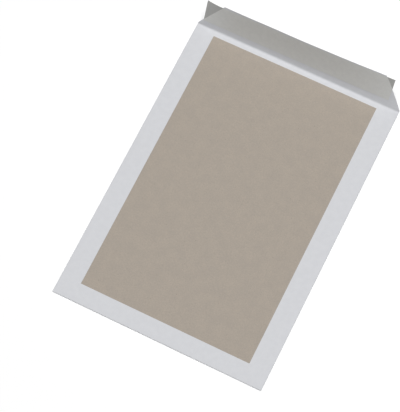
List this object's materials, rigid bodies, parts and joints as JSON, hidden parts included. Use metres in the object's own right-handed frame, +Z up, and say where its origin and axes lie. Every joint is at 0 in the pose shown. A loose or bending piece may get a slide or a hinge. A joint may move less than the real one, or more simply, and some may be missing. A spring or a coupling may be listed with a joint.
{
  "type": "board-backed envelope",
  "caption": "Flat white paper envelope with a stiff grey board back, peel-and-seal closure flap raised.",
  "frame": {"origin": "centre of the address panel's outer face, on which the envelope lies", "axes": "+X to the right seen from the board side with the closure flap away from the viewer, +Y towards the closure flap, +Z up through the board"},
  "size_m": [0.229, 0.3414, 0.0354],
  "materials": {
    "white_paper": "matt",
    "grey_board": "matt",
    "dried_glue": "satin",
    "adhesive": "satin",
    "release_paper": "satin"
  },
  "bodies": {
    "root": {"paper_blank": "white_paper", "board_back": "grey_board", "seam_glue_left": "dried_glue", "seam_glue_right": "dried_glue", "seam_glue_bottom": "dried_glue", "closure_adhesive": "adhesive", "release_strip": "release_paper"}
  },
  "joints": []
}
